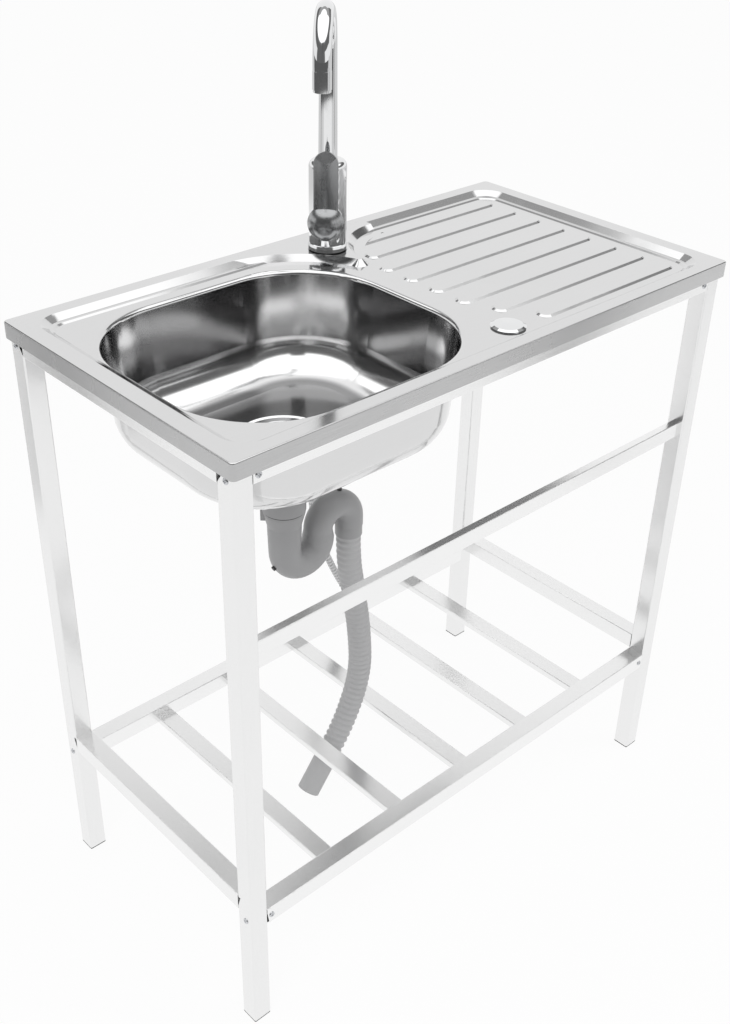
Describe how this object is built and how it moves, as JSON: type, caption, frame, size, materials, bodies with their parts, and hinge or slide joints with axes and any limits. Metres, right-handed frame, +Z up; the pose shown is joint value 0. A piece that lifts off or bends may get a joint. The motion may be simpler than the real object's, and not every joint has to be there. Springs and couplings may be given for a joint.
{
  "type": "kitchen sink unit",
  "caption": "Free-standing steel kitchen sink unit: pressed bowl and drainer top on a square-tube frame with slatted shelf, towel rail, single-lever tap, trap and ribbed drain hose.",
  "frame": {"origin": "on the floor under the centre of the unit", "axes": "+X to the right along the front, +Y to the back, +Z up"},
  "size_m": [0.8, 0.425, 1.139],
  "materials": {
    "worktop_steel": "satin pressed stainless sheet",
    "frame_steel": "bright stainless tube",
    "chrome": "polished chrome plate",
    "inner_brass": "plain turned brass",
    "zinc_steel": "zinc-plated steel",
    "black_plastic": "matte black plastic",
    "grey_plastic": "smooth moulded grey plastic",
    "hose_plastic": "ribbed light grey plastic",
    "white_plastic": "smooth white plastic",
    "rubber": "black rubber",
    "braid": "woven stainless braid"
  },
  "bodies": {
    "unit": {"sink_top": "worktop_steel", "hole_cap": "chrome", "hole_cap_plate": "white_plastic", "hole_cap_nut": "zinc_steel", "waste_flange": "chrome", "waste_gasket": "rubber", "waste_body": "white_plastic", "waste_screw": "chrome", "trap_nut": "grey_plastic", "trap_washer": "rubber", "trap_bend": "grey_plastic", "trap_plugs": "black_plastic", "trap_outlet_nut": "grey_plastic", "drain_hose": "hose_plastic", "tap_seal": "rubber", "tap_base_ring": "chrome", "tap_body": "chrome", "tap_cartridge": "white_plastic", "tap_cartridge_ring": "inner_brass", "tap_spout_ring": "white_plastic", "tap_pad": "rubber", "tap_plate": "zinc_steel", "tap_stud": "inner_brass", "tap_nut": "inner_brass", "supply_tails": "zinc_steel", "supply_nuts": "chrome", "supply_hose_hot": "braid", "supply_hose_cold": "braid", "leg_caps": "black_plastic", "towel_rail": "frame_steel", "side_screws": "zinc_steel", "face_screws": "zinc_steel", "leg_front_left": "frame_steel", "leg_front_right": "frame_steel", "top_rail_front": "frame_steel", "shelf_rail_front": "frame_steel", "leg_back_left": "frame_steel", "leg_back_right": "frame_steel", "top_rail_back": "frame_steel", "shelf_rail_back": "frame_steel", "top_rail_left": "frame_steel", "shelf_rail_left": "frame_steel", "top_rail_right": "frame_steel", "shelf_rail_right": "frame_steel", "shelf_slat_1": "frame_steel", "shelf_slat_2": "frame_steel", "shelf_slat_3": "frame_steel", "shelf_slat_4": "frame_steel", "shelf_slat_5": "frame_steel"},
    "spout": {"tap_spout": "chrome", "tap_aerator": "chrome", "tap_aerator_mesh": "white_plastic"},
    "mixer": {"tap_carrier": "white_plastic"},
    "lever": {"tap_lever": "chrome", "tap_stem": "inner_brass", "tap_lever_screw": "zinc_steel"},
    "basket": {"waste_basket": "chrome"}
  },
  "joints": [
    {"name": "spout_swivel", "type": "hinge", "parent": "unit", "child": "spout", "pos_m": [0.034, 0.152, 0.945], "axis": [0, 0, 1], "range_deg": [-120, 120]},
    {"name": "handle_turn", "type": "hinge", "parent": "unit", "child": "mixer", "pos_m": [0.01562, 0.13362, 0.8725], "axis": [-0.7071, -0.7071, 0], "range_deg": [-45, 45]},
    {"name": "handle_lift", "type": "hinge", "parent": "mixer", "child": "lever", "pos_m": [0.01562, 0.13362, 0.8725], "axis": [0.7071, -0.7071, 0], "range_deg": [0, 20]},
    {"name": "basket_lift", "type": "slide", "parent": "unit", "child": "basket", "axis": [0, 0, 1], "range_m": [0, 0.15]}
  ]
}
